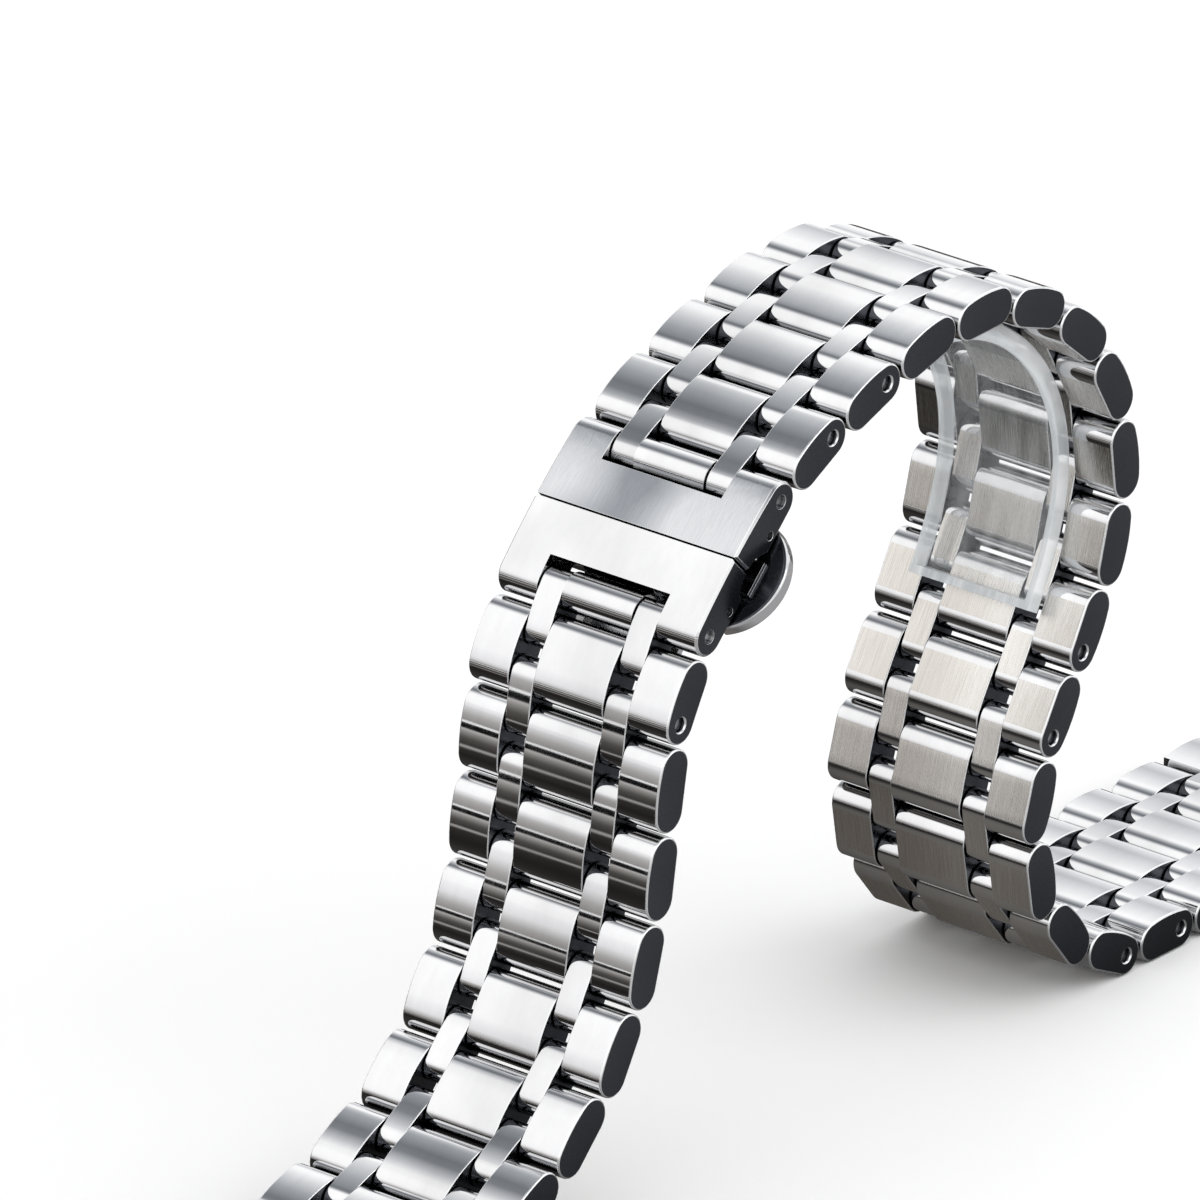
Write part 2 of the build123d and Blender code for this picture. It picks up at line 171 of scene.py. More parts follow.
def steel(name, light, dark, rough, rough_spread, grain, grain_strength, uneven="#f4f4f4",
          crevice_shade="#17181a"):
    """A finish of steel: one noise, fine as grain says per mm, drives tint, roughness and relief.
    uneven is how dark the face gets where the wheel or belt bore less hard, and the last argument
    is the colour of the painted shade in its crevices."""
    material, tree, shader = new_material(name)
    shader.inputs["Metallic"].default_value = 1.0
    marks = add_node(tree, "ShaderNodeTexNoise", {"Vector": stretched(tree, grain)}, Scale=1.0,
                     Detail=4.0, Roughness=0.6).outputs["Fac"]
    tint = add_node(tree, "ShaderNodeValToRGB", {"Fac": marks},
                    stops=[*zip(NOISE_SPAN, (dark, light))])
    # Painted shade: the Ambient Occlusion node darkens the colour in the crevices.
    open_air = add_node(tree, "ShaderNodeAmbientOcclusion", Distance=CREVICE, samples=6)
    painted_crevice_shade = add_node(tree, "ShaderNodeValToRGB", {"Fac": open_air.outputs["AO"]},
                     stops=[*zip(CREVICE_SHADE_SPAN, (crevice_shade, "#ffffff"))])
    broad = add_node(tree, "ShaderNodeTexNoise", {"Vector": stretched(tree, PATCHES)}, Scale=1.0,
                     Detail=1.0)
    bearing = add_node(tree, "ShaderNodeValToRGB", {"Fac": broad.outputs["Fac"]},
                       stops=[*zip(PATCH_SPAN, (uneven, "#ffffff"))])
    colour_before_shade = add_node(tree, "ShaderNodeVectorMath",
                     {0: tint.outputs["Color"], 1: bearing.outputs["Color"]}, operation="MULTIPLY")
    colour = add_node(tree, "ShaderNodeVectorMath",
                      {0: colour_before_shade.outputs["Vector"], 1: painted_crevice_shade.outputs["Color"]},
                      operation="MULTIPLY")
    tree.links.new(colour.outputs["Vector"], shader.inputs["Base Color"])
    least, most = NOISE_SPAN
    gloss = add_node(tree, "ShaderNodeMapRange", {"Value": marks}, From_Min=least, From_Max=most,
                     To_Min=rough - rough_spread, To_Max=rough + rough_spread)
    tree.links.new(gloss.outputs["Result"], shader.inputs["Roughness"])
    bump = add_node(tree, "ShaderNodeBump", {"Height": marks}, Strength=grain_strength,
                    Distance=GRAIN_DEPTH)
    tree.links.new(bump.outputs["Normal"], shader.inputs["Normal"])
    return material


polished = steel("polished_steel", "#e4e4e5", "#dcdcdd", rough=0.05, rough_spread=0.018,
                 grain=(0.25, 0.6, 0.25), grain_strength=0.0)
brushed = steel("brushed_steel", "#f2efeb", "#cdc9c4", rough=0.27, rough_spread=0.05,
                grain=(0.3, 18.0, 18.0), grain_strength=0.9, uneven="#e6e4e2")
# Nearly black steel for end faces, hole walls, the flat faces of the buttons and the sides of links
# and covers: painted shade.
painted_dark_end = steel("end_satin_steel", "#52545a", "#46484d", rough=0.24, rough_spread=0.03,
                  grain=(5.0, 5.0, 5.0), grain_strength=0.04, uneven="#d8d8da")
# Paler steel for the broken edges: a painted highlight, with a lighter painted shade in its
# crevices.
rim = steel("rim_steel", "#fafafa", "#eeeff0", rough=0.26, rough_spread=0.04,
            grain=(3.0, 3.0, 3.0), grain_strength=0.05, crevice_shade="#55565a")
pin_steel = steel("pin_steel", "#b9babc", "#8b8c8f", rough=0.2, rough_spread=0.05,
                  grain=(12.0, 1.5, 12.0), grain_strength=0.4)
fine_brushed = steel("fine_brushed_steel", "#dcdddf", "#c3c5c8", rough=0.2, rough_spread=0.04,
                     grain=(0.3, 24.0, 24.0), grain_strength=0.35, uneven="#b0b3b7")
FINISHES = [polished, brushed, painted_dark_end, rim, pin_steel, fine_brushed]
POLISHED, BRUSHED, END, RIM, PIN, FINE = range(len(FINISHES))
print("finishes", [finish.name for finish in FINISHES])

# %% [markdown]
# ## Clear plastic
# The cuff that keeps the arch in shape is thin clear PVC, bent while warm. It is drawn out along
# its length, which leaves faint milky streaks, about 1 mm wide and 7 mm long. Its turned-up rims
# and its cut ends scatter light. A refracting solid would be truer for a thick block, but this
# sheet is too thin to bend light visibly, so it is drawn as a mostly open surface.

# %% Clear plastic
PLASTIC_IOR = 1.53
STREAKS, STREAK_SPAN = (0.15, 1.1, 0.15), (0.35, 0.65)
STREAK_STRENGTH, STREAK_DEPTH = 0.05, 0.05 * MM


def clear_plastic(name, light, dark, cover, rough):
    """cover is the share of the surface that scatters light. It and rough are (least, most)."""
    material, tree, shader = new_material(name)
    shader.inputs["IOR"].default_value = PLASTIC_IOR
    streaks = add_node(tree, "ShaderNodeTexNoise", {"Vector": stretched(tree, STREAKS)}, Scale=1.0,
                       Detail=3.0).outputs["Fac"]
    tint = add_node(tree, "ShaderNodeValToRGB", {"Fac": streaks},
                    stops=[*zip(NOISE_SPAN, (dark, light))])
    tree.links.new(tint.outputs["Color"], shader.inputs["Base Color"])
    least, most = STREAK_SPAN
    for socket, (low, high) in (("Roughness", rough), ("Alpha", cover)):
        span = add_node(tree, "ShaderNodeMapRange", {"Value": streaks}, From_Min=least,
                        From_Max=most, To_Min=low, To_Max=high)
        tree.links.new(span.outputs["Result"], shader.inputs[socket])
    bump = add_node(tree, "ShaderNodeBump", {"Height": streaks}, Strength=STREAK_STRENGTH,
                    Distance=STREAK_DEPTH)
    tree.links.new(bump.outputs["Normal"], shader.inputs["Normal"])
    return material


plastic = clear_plastic("clear_plastic", "#f8fafb", "#e4e9ec", cover=(0.05, 0.15),
                        rough=(0.024, 0.096))
milky_plastic = clear_plastic("milky_plastic", "#f2f5f7", "#dde2e6", cover=(0.5, 0.72),
                              rough=(0.06, 0.24))
print("plastics", plastic.name, milky_plastic.name)

# %% [markdown]
# ## Side profile of a link
# A link is milled from a bar: round at both ends, flat inside and gently crowned outside, so the
# crown shows one broad reflection. A box with bevels would give no crown, so the outline is drawn
# as three arcs and a flat, each point with its normal and the finish of the face after it.

# %% Side profile of a link
END_STEPS, CROWN_STEPS, FLAT_STEPS = 22, 14, 6


def arc(middle, radius, start, end, steps):
    """Points on an arc as (x, z, normal x, normal z), angles in degrees, without the last one."""
    out = []
    for i in range(steps):
        turn = math.radians(start + (end - start) * i / steps)
        nx, nz = math.cos(turn), math.sin(turn)
        out.append((middle[0] + radius * nx, middle[1] + radius * nz, nx, nz))
    return out


def link_profile(centre, radius, crown):
    """Outline of a link as (x, z, nx, nz, finish of the face that follows)."""
    sink = (HALF_RUN**2 - crown**2) / (2 * crown)
    turn = math.degrees(math.atan2(sink, HALF_RUN))
    right, left = centre + HALF_RUN, centre - HALF_RUN
    steps = [left + 2 * HALF_RUN * i / FLAT_STEPS for i in range(FLAT_STEPS)]
    points = arc((right, 0), radius, -90, turn, END_STEPS)
    points += arc((centre, -sink), sink + crown + radius, turn, 180 - turn, CROWN_STEPS)
    points += arc((left, 0), radius, 180 - turn, 270, END_STEPS)
    return [(x, -radius, 0.0, -1.0, BRUSHED) for x in steps] + [(*p, POLISHED) for p in points]


print("points in a profile", len(link_profile(0, LINK_RADIUS, LINK_CROWN)))

# %% [markdown]
# ## A solid from a profile
# Each lane is the profile carried across the band. Its edges are broken with a bevel a tenth of a
# millimetre wide, which is the bright line round every end face: the bevel catches light, and its
# paler steel adds a painted highlight. A bevel modifier would have to be put on every row, so the
# bevel's rings are written into the mesh that the rows share.

# %% A lane with bevelled ends
BEVEL_TURNS = (90, 60, 30, 0)


def add_face(shape, corners, finish, reverse=False, smooth=True):
    face = shape.faces.new(corners[::-1] if reverse else corners)
    face.material_index = finish
    face.smooth = smooth
    return face


def sharpen(shape, ring):
    """Shading stops at the edges round this ring."""
    for corner, after in zip(ring, ring[1:] + ring[:1]):
        shape.edges.get((corner, after)).smooth = False


def add_lane(shape, outline, start, end, bevel, hole=None):
    """Adds one link from y start to y end. bevel is its width (at start, at end); hole is
    (x, radius, depth) in the face at end."""
    ahead = math.copysign(1, end - start)
    rings = []
    for edge, way, width, turns in ((start, ahead, bevel[0], BEVEL_TURNS),
                                    (end, -ahead, bevel[1], BEVEL_TURNS[::-1])):
        for turn in turns:
            inset = width * (1 - math.cos(math.radians(turn)))
            y = edge + way * width * (1 - math.sin(math.radians(turn)))
            rings.append([shape.verts.new((x - nx * inset, y, z - nz * inset))
                          for x, z, nx, nz, _ in outline])
    count, body, flip = len(outline), len(BEVEL_TURNS) - 1, end < start
    for r, (ring, after) in enumerate(zip(rings, rings[1:])):
        for i in range(count):
            beside = (i + 1) % count
            corners = [ring[i], ring[beside], after[beside], after[i]]
            add_face(shape, corners, outline[i][4] if r == body else RIM, flip)
    # End faces take the nearly black steel: painted shade.
    add_face(shape, rings[0], END, not flip, smooth=False)
    if hole:
        add_holed_face(shape, rings[-1], end, flip, hole)
    else:
        add_face(shape, rings[-1], END, flip, smooth=False)
    for ring in (rings[0], rings[body], rings[body + 1], rings[-1]):
        sharpen(shape, ring)


# %% [markdown]
# ## Pins and their holes
# Two pins run through each row. Most are pressed in and show only between the lanes; a removable
# one sits in an open hole with a bright countersink, so that it can be driven out. The countersink
# is painted paler, a painted highlight, and the hole's wall and floor nearly black, as painted
# shade. A boolean cut would leave ragged faces, so the end face is filled round the hole by
# triangulation.

# %% Holed end faces, and rods
HOLE_STEPS, ROD_STEPS, ROD_BEVEL = 28, 20, 0.06
SINK_WIDTH, SINK_DEPTH, HOLE_REACH = 1.22, 0.18, 1.2
NEARLY_EQUAL = 1e-7


def add_circle(shape, x, y, radius, steps):
    turns = [2 * math.pi * i / steps for i in range(steps)]
    return [shape.verts.new((x + radius * math.cos(turn), y, radius * math.sin(turn)))
            for turn in turns]


def add_holed_face(shape, ring, y, flip, hole):
    """The end face between the outline and a pin hole, with the hole's countersink, wall and floor.
    SINK_WIDTH, SINK_DEPTH and HOLE_REACH are shares of the hole's radius. Triangles with their
    middle within HOLE_REACH lie in the hole and are left out."""
    x0, radius, depth = hole
    inward = 1 if flip else -1
    mouth, throat, bottom = (
        add_circle(shape, x0, y + inward * step, r, HOLE_STEPS)
        for r, step in ((radius * SINK_WIDTH, 0.0), (radius, radius * SINK_DEPTH), (radius, depth)))
    everyone = ring + mouth
    edges = [(i, (i + 1) % len(ring)) for i in range(len(ring))]
    edges += [(len(ring) + i, len(ring) + (i + 1) % HOLE_STEPS) for i in range(HOLE_STEPS)]
    flat = [corner.co.xz for corner in everyone]
    spots, _, triangles, sources, _, _ = delaunay_2d_cdt(flat, edges, [], 0, NEARLY_EQUAL)
    for triangle in triangles:
        middle = sum((spots[i] for i in triangle), Vector((0, 0))) / 3
        if (middle - Vector((x0, 0))).length < radius * HOLE_REACH:
            continue
        corners = [everyone[sources[i][0]] for i in triangle]
        face = add_face(shape, corners, END, flip, smooth=False)
        face.normal_update()
        if (face.normal.y < 0) != flip:
            face.normal_flip()
    # The countersink takes the paler steel, a painted highlight, and the wall the nearly black
    # steel, painted shade.
    for near, far, finish in ((mouth, throat, RIM), (throat, bottom, END)):
        for i in range(HOLE_STEPS):
            beside = (i + 1) % HOLE_STEPS
            add_face(shape, [near[i], near[beside], far[beside], far[i]], finish, flip)
    add_face(shape, bottom, END, not flip, smooth=False)
    sharpen(shape, mouth)


def add_rod(shape, x, radius, reach):
    """A pin across the band with bevelled ends."""
    rings = [add_circle(shape, x, y, r, ROD_STEPS) for y, r in (
        (-reach, radius - ROD_BEVEL), (ROD_BEVEL - reach, radius),
        (reach - ROD_BEVEL, radius), (reach, radius - ROD_BEVEL))]
    for ring, after in zip(rings, rings[1:]):
        for i in range(ROD_STEPS):
            beside = (i + 1) % ROD_STEPS
            add_face(shape, [ring[i], after[i], after[beside], ring[beside]], PIN)
    add_face(shape, rings[0], PIN, smooth=False)
    add_face(shape, rings[-1], PIN, reverse=True, smooth=False)


# %% [markdown]
# ## From a shape to a piece
# A piece is an object that stands for a CAD node: it rides on the node's body and carries its
# material slot. Every piece passes through `place`, so none is missed.


# %% Finished meshes and pieces
def mesh_from(shape, name):
    mesh = bpy.data.meshes.new(name)
    shape.to_mesh(mesh)
    shape.free()
    return mesh


def finish_mesh(shape, name, materials=FINISHES):
    """The mesh in metres, with outward faces and its materials."""
    bmesh.ops.recalc_face_normals(shape, faces=shape.faces)
    mesh = mesh_from(shape, name)
    mesh.transform(Matrix.Scale(MM, 4))
    for material in materials:
        mesh.materials.append(material)
    return mesh


def add_object(name, data):
    thing = bpy.data.objects.new(name, data)
    bpy.context.scene.collection.objects.link(thing)
    return thing


def place(mesh, name, matrix, body, nodes):
    """An object for a mesh: it rides on a body, and stands for the CAD nodes."""
    piece = add_object(name, mesh)
    piece.matrix_world = matrix
    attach(piece, body)
    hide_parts(*nodes)
    return piece


# %% [markdown]
# ## One row of links
# A row is a centre link and two outer links at its far end, and two thin links at its near end
# that reach back between the lanes of the row before. All rows are alike but for the open holes,
# so two meshes serve the whole band.

# %% Row meshes
INNER_BEVEL, OUTER_BEVEL, THIN_BEVEL = 0.08, 0.13, 0.07
HOLE_GAP, HOLE_DEPTH = 0.03, 0.9


def row_mesh(name, holes):
    """A whole row: centre link, outer links and thin links; holes opens the far pin's holes."""
    shape = bmesh.new()
    outline = link_profile(PITCH - HALF_RUN, LINK_RADIUS, LINK_CROWN)
    thin = link_profile(HALF_RUN, THIN_RADIUS, THIN_CROWN)
    hole = (PITCH, PIN_RADIUS + HOLE_GAP, HOLE_DEPTH) if holes else None
    for side in (-1, 1):
        bevel = (INNER_BEVEL, OUTER_BEVEL)
        add_lane(shape, outline, side * OUTER_INNER, side * OUTER_OUTER, bevel, hole)
        bevel = (THIN_BEVEL, THIN_BEVEL)
        add_lane(shape, thin, side * THIN_INNER, side * THIN_OUTER, bevel)
    add_lane(shape, outline, -CENTRE_HALF, CENTRE_HALF, (INNER_BEVEL, INNER_BEVEL))
    add_rod(shape, PITCH / 2, PIN_RADIUS, PIN_REACH)
    if not holes:
        add_rod(shape, PITCH, PIN_RADIUS, PIN_REACH)
    return finish_mesh(shape, name)


plain_row = row_mesh("row_of_links", holes=False)
open_row = row_mesh("row_of_links_with_holes", holes=True)
print("faces in a row", len(plain_row.polygons), "with holes", len(open_row.polygons))

# %% [markdown]
# ## Rows of links
# Each row hangs on its own hinge. The rows could be copied along a curve, but then they would not
# sit on their bodies. The next hinge shows which way a row runs, so both chains are dressed
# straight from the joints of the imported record.

# %% Both chains
joints = {joint["child"]: joint for joint in frame["joints"]}


def row_matrix(here, there, side):
    """Local X from one hinge to the next, local Z to the outer side of the band."""
    ahead = (there - here).normalized()
    out = Vector((-ahead.z, 0, ahead.x)) * side
    across = out.cross(ahead)
    turned = Matrix((ahead, across, out)).transposed().to_4x4()
    turned.translation = here
    return turned


for letter, side in (("a", -1), ("b", 1)):
    bodies = sorted(b for b in frame["bodies"] if b.startswith("link_" + letter))
    points = [Vector(joints[b]["pos_m"]) for b in bodies + ["end_link_" + letter]]
    for body, here, there in zip(bodies, points, points[1:]):
        removable = body.replace("link", "removable_pin") in frame["nodes"]
        matrix = row_matrix(here, there, side)
        place(open_row if removable else plain_row, "dressed_" + body, matrix, body, [body])
    print("chain", letter, "rows", len(bodies))

# %% [markdown]
# ## Broken edges
# No edge of the clasp is left sharp: the polisher's wheel breaks each one. These shapes are right
# in the CAD model, so they are taken over face by face and not built anew. Flat facets are joined,
# every face gets the finish of its side, and a bevel modifier breaks the sharp edges, as each of
# these pieces has a mesh of its own.

# %% A CAD surface with finishes
MERGE, TINY, FLAT_DEGREES = 0.002, 0.001, 0.4
EDGE_WIDTH, SHARP_DEGREES = 0.09, 25


def break_edges(piece, width, sharp, material=-1):
    """A bevel, width in mm, on edges that turn more than sharp in degrees."""
    bevel = piece.modifiers.new("broken_edges", "BEVEL")
    bevel.width = width * MM
    bevel.segments = 2
    bevel.limit_method = "ANGLE"
    bevel.angle_limit = math.radians(sharp)
    bevel.harden_normals = True
    bevel.material = material


def dressed_copy(name, matrix, finish_of, edge_width=EDGE_WIDTH, sharp=SHARP_DEGREES):
    """matrix is the piece's own frame; finish_of(normal, middle) names a face's finish in that
    frame, in mm. The piece and its body share their name."""
    shape = bmesh.new()
    shape.from_mesh(frame["nodes"][name].data)
    to_own = Matrix.Scale(1 / MM, 4) @ matrix.inverted()
    bmesh.ops.transform(shape, matrix=to_own, verts=shape.verts)
    bmesh.ops.remove_doubles(shape, verts=shape.verts, dist=MERGE)
    bmesh.ops.dissolve_limit(shape, angle_limit=math.radians(FLAT_DEGREES), verts=shape.verts,
                             edges=shape.edges)
    bmesh.ops.dissolve_degenerate(shape, edges=shape.edges, dist=TINY)
    shape.normal_update()
    for face in shape.faces:
        face.material_index = finish_of(face.normal, face.calc_center_median())
        face.smooth = True
    for edge in shape.edges:
        edge.smooth = edge.calc_face_angle(0) < math.radians(sharp)
    new_name = "dressed_" + name
    piece = place(finish_mesh(shape, new_name), new_name, matrix, name, [name])
    # The bevel's faces take the paler steel: a painted highlight.
    break_edges(piece, edge_width, sharp, RIM)
    return piece


def frame_at(point, degrees=0):
    """X along a direction in the XZ plane, Y across the band, Z outward."""
    turned = Matrix.Rotation(math.radians(-degrees), 4, "Y")
    turned.translation = point
    return turned


# %% [markdown]
# ## Clasp and buttons
# The butterfly clasp shows two covers that meet at a seam, with a half moon button on each side.
# One cover is buffed and the other brushed fine, as the photo shows them. The wings under them are
# satin. A face's finish follows from how much of its normal lies along an axis of the clasp, which
# spares naming the faces one by one.

# %% Clasp and buttons
CLASP_DEGREES = 45
HALF, MOSTLY, ALMOST_ALL = 0.5, 0.8, 0.9
COVER_END = OUTER_INNER + 1
COVER_EDGE, WING_EDGE, BUTTON_EDGE, BUTTON_SHARP = 0.14, 0.05, 0.12, 50
start_a, start_b = (Vector(joints[b]["pos_m"]) for b in ("link_a01", "link_b01"))
clasp_frame = frame_at((start_a + start_b) / 2, CLASP_DEGREES)


# The covers' end sides take the nearly black steel: painted shade.
def cover_finish(top):
    """top is the finish of the cover's upper face."""
    def finish(normal, middle):
        if abs(normal.y) > MOSTLY and abs(middle.y) > COVER_END:
            return END
        return top if normal.z > ALMOST_ALL else POLISHED
    return finish


# The buttons' flat faces take the nearly black steel: painted shade.
def button_finish(normal, middle):
    return END if abs(normal.z) > MOSTLY else POLISHED


def wing_finish(normal, middle):
    return FINE if abs(normal.z) > HALF else POLISHED


for letter, top in (("a", POLISHED), ("b", FINE)):
    dressed_copy("cover_" + letter, clasp_frame, cover_finish(top), COVER_EDGE)
    wing = dressed_copy("wing_" + letter, clasp_frame, wing_finish, WING_EDGE)
for side in ("near", "far"):
    dressed_copy("button_" + side, clasp_frame, button_finish, BUTTON_EDGE, BUTTON_SHARP)
print("covers, wings and buttons dressed")

# %% [markdown]
# ## End links
# An end link closes each chain and holds the spring bar between the lugs of the watch. It is
# buffed outside and brushed inside like the rows. It could be built from a profile as they are,
# but it has its bar and its bore in the CAD model, so it is dressed as the clasp is.


# %% End links
# The end links' sides take the nearly black steel: painted shade.
def end_link_finish(normal, middle):
    if abs(normal.y) > MOSTLY:
        return END
    return BRUSHED if normal.z < -ALMOST_ALL else POLISHED


for name in ("end_link_a", "end_link_b"):
    dressed_copy(name, frame_at(Vector(joints[name]["pos_m"])), end_link_finish)
print("end links dressed")

# %% [markdown]
# ## Line and section of the cuff
# The retaining cuff is a clear channel bent along the inner side of the arch, with turned-up rims
# and a lip at each end. It could be extruded along a curve object, but its section has to stay
# square to the band, so its rings are placed in code on a smooth line that passes close under the
# middle of each row it holds.

# %% Line and section of the cuff
CUFF_ROWS = range(2, 11)
CUFF_GAP = 0.32
CUFF_DEPTH = LINK_RADIUS + CUFF_GAP
CUFF_HALF, CUFF_WALL = 5.5, 0.5
CUFF_RIM_HEIGHT, CUFF_RIM_WALL = 1.5, 0.6
CUFF_ROUND, CUFF_RIM_ROUND = 0.35, 0.2
CUFF_STEPS = 8


def cuff_line():
    """Points and inward directions along the cuff's outer side, in mm: from knot to knot runs a
    cubic that leaves and arrives along the rows."""
    names = [f"link_b{row:02d}" for row in [*CUFF_ROWS, CUFF_ROWS[-1] + 1]]
    hinges = [Vector(joints[name]["pos_m"]) / MM for name in names]
    knots = []
    for here, there in zip(hinges, hinges[1:]):
        ahead = (there - here).normalized()
        inward = Vector((ahead.z, 0, -ahead.x))
        knots.append(((here + there) / 2 + inward * CUFF_DEPTH, ahead))
    (first, first_way), (last, last_way) = knots[0], knots[-1]
    line = [(first - first_way * HALF_RUN, first_way), (first, first_way)]
    for (p, t), (q, u) in zip(knots, knots[1:]):
        reach = (q - p).length
        for i in range(1, CUFF_STEPS + 1):
            s = i / CUFF_STEPS
            spot = (p * (2 * s**3 - 3 * s**2 + 1) + t * reach * (s**3 - 2 * s**2 + s)
                    + q * (3 * s**2 - 2 * s**3) + u * reach * (s**3 - s**2))
            line.append((spot, t.lerp(u, s).normalized()))
    line.append((last + last_way * HALF_RUN, last_way))
    return [(spot, Vector((ahead.z, 0, -ahead.x))) for spot, ahead in line]


def toward(value, other, step):
    """value, moved towards other by step, or by less where other is nearer."""
    if other == value:
        return value
    return value + math.copysign(min(step, abs(other - value)), other - value)


def cuff_section(lip):
    """Places (y, depth) round the channel's section; lip is an end's wall. Each corner is rounded
    by a quadratic curve that starts and ends its radius away from it."""
    floor_at = CUFF_RIM_HEIGHT if lip else CUFF_WALL
    inner = CUFF_HALF - CUFF_RIM_WALL
    half = [(CUFF_HALF, 0, CUFF_ROUND), (CUFF_HALF, CUFF_RIM_HEIGHT, CUFF_RIM_ROUND),
            (inner, CUFF_RIM_HEIGHT, CUFF_RIM_ROUND), (inner, floor_at, CUFF_RIM_ROUND)]
    corners = half + [(-y, depth, radius) for y, depth, radius in half[::-1]]
    corners = corners[-1:] + corners[:-1]
    section = []
    for i, (y, depth, radius) in enumerate(corners):
        before, after = corners[i - 1][:2], corners[(i + 1) % len(corners)][:2]
        for share in (0.0, 0.5, 1.0):
            point = []
            for k, value in enumerate((y, depth)):
                start, end = toward(value, before[k], radius), toward(value, after[k], radius)
                point.append((1 - share)**2 * start + 2 * share * (1 - share) * value
                             + share**2 * end)
            section.append(tuple(point))
    return section


print("points on the cuff's line", len(cuff_line()))
print("points round its section", len(cuff_section(lip=False)))

# %% [markdown]
# ## Retaining cuff
# The rings are joined to a closed channel. A strip with a solidify modifier would be quicker, but
# it would have no rims or lips. The floor is clear, and the rims, lips and cut ends are milky. The
# cuff casts no shadow, or the painted crevice shade would darken the steel under it as if it were a
# crevice.

# %% Cuff
CUFF_LIP, LIP_SLOPE, LIP_RINGS = 0.7, 0.05, 2
CUFF_RIM_MARGIN = 0.25
CUFF_EDGE, CUFF_SHARP = 0.06, 50
CLEAR, MILKY = 0, 1


def cuff_mesh():
    shape = bmesh.new()
    line = cuff_line()
    rings = []

    def add_ring(spot, inward, lip):
        corners = [(spot + inward * depth, y) for y, depth in cuff_section(lip)]
        rings.append([shape.verts.new((corner.x, y, corner.z)) for corner, y in corners])

    def between(a, b, distance):
        way = b[0] - a[0]
        return a[0] + way * (distance / way.length), a[1]

    inside, outside = CUFF_LIP - LIP_SLOPE, CUFF_LIP + LIP_SLOPE
    add_ring(*line[0], True)
    add_ring(*between(line[0], line[1], inside), True)
    add_ring(*between(line[0], line[1], outside), False)
    for spot, inward in line[1:-1]:
        add_ring(spot, inward, False)
    add_ring(*between(line[-1], line[-2], outside), False)
    add_ring(*between(line[-1], line[-2], inside), True)
    add_ring(*line[-1], True)
    count = len(rings[0])
    rim_at = CUFF_HALF - CUFF_RIM_WALL - CUFF_RIM_MARGIN
    last = len(rings) - 2
    for r, (near, far) in enumerate(zip(rings, rings[1:])):
        on_lip = r < LIP_RINGS or r > last - LIP_RINGS
        for i in range(count):
            beside = (i + 1) % count
            face = add_face(shape, (near[i], near[beside], far[beside], far[i]), CLEAR)
            if on_lip or abs(face.calc_center_median().y) > rim_at:
                face.material_index = MILKY
    for end in (rings[0], rings[-1]):
        add_face(shape, end, MILKY, smooth=False)
    bmesh.ops.remove_doubles(shape, verts=shape.verts, dist=MERGE)
    bmesh.ops.dissolve_degenerate(shape, edges=shape.edges, dist=MERGE)
    return finish_mesh(shape, "dressed_cuff", (plastic, milky_plastic))


mesh = cuff_mesh()
cuff = place(mesh, "dressed_cuff", Matrix.Identity(4), "cuff", ["cuff"])
cuff.visible_shadow = False
break_edges(cuff, CUFF_EDGE, CUFF_SHARP)
print("cuff faces", len(mesh.polygons))

# %% [markdown]
# ## Carried-over CAD pieces
# The barrels, the loose pins, the spring, the middle blade and the button housing are plain turned
# or milled shapes. Their CAD meshes are fine enough as they are, so they only get a finish.

# %% Materials of the CAD nodes
carried = [name for name, node in frame["nodes"].items() if not node.hide_render]
for name in carried:
    material = polished
    if "pin" in name:
        material = pin_steel
    if name in ("middle_blade", "button_housing"):
        material = fine_brushed
    materials = frame["nodes"][name].data.materials
    materials.clear()
    materials.append(material)
print("carried over", len(carried))

# %% [markdown]
# ## Floor and world
# The band stands on pale paper under an even white sky, as in a catalogue photo. A curved backdrop
# would do as well, but a flat floor in a white world keeps its shadow and needs no corner.

# %% Floor and world
FLOOR_HALF, FLOOR_DROP = 3.0, 0.1 * MM
shape = bmesh.new()
bmesh.ops.create_grid(shape, x_segments=1, y_segments=1, size=FLOOR_HALF)
floor_mesh = mesh_from(shape, "floor")
floor = add_object("floor", floor_mesh)
floor.location.z = -FLOOR_DROP
floor_material, tree, shader = new_material("floor")
shader.inputs["Base Color"].default_value = linear("#fafafa")
shader.inputs["Roughness"].default_value = 0.9
floor_mesh.materials.append(floor_material)

world = bpy.data.worlds.new("studio")
bpy.context.scene.world = world
world.use_nodes = True
tree = world.node_tree
tree.nodes.clear()
white = add_node(tree, "ShaderNodeBackground", Strength=1.0)
white.inputs["Color"].default_value = (1, 1, 1, 1)
add_node(tree, "ShaderNodeOutputWorld", {"Surface": white.outputs[0]})
print("floor and world set")

# %% [markdown]
# ## Cards
# Polished steel shows what stands round it, so it is lit as a photographer lights it, with cards
# that only the reflections see. A picture of a studio could serve, but painted stripes can be
# moved one by one until each link shows its bands of light about where the photo has them.


# %% A card, and its stripes
def card(name, mesh, shade, strength):
    """A stage card that only reflections see. shade(tree) gives the colour of its glow."""
    material = bpy.data.materials.new(name)
    material.use_nodes = True
    tree = material.node_tree
    tree.nodes.clear()
    glow = add_node(tree, "ShaderNodeEmission", {"Color": shade(tree)}, Strength=strength)
    add_node(tree, "ShaderNodeOutputMaterial", {"Surface": glow.outputs[0]})
    mesh.materials.append(material)
    panel = add_object(name, mesh)
    panel.visible_camera = panel.visible_diffuse = panel.visible_shadow = False
    print(name, "faces", len(mesh.polygons))


def stripes(tree, value, stops):
    """Colours at the places that stops gives, over value."""
    first, last = stops[0][0], stops[-1][0]
    share = add_node(tree, "ShaderNodeMapRange", {"Value": value}, From_Min=first, From_Max=last)
    shades = add_node(tree, "ShaderNodeValToRGB", {"Fac": share.outputs["Result"]},
                      stops=[((at - first) / (last - first), code) for at, code in stops])
    return shades.outputs["Color"]
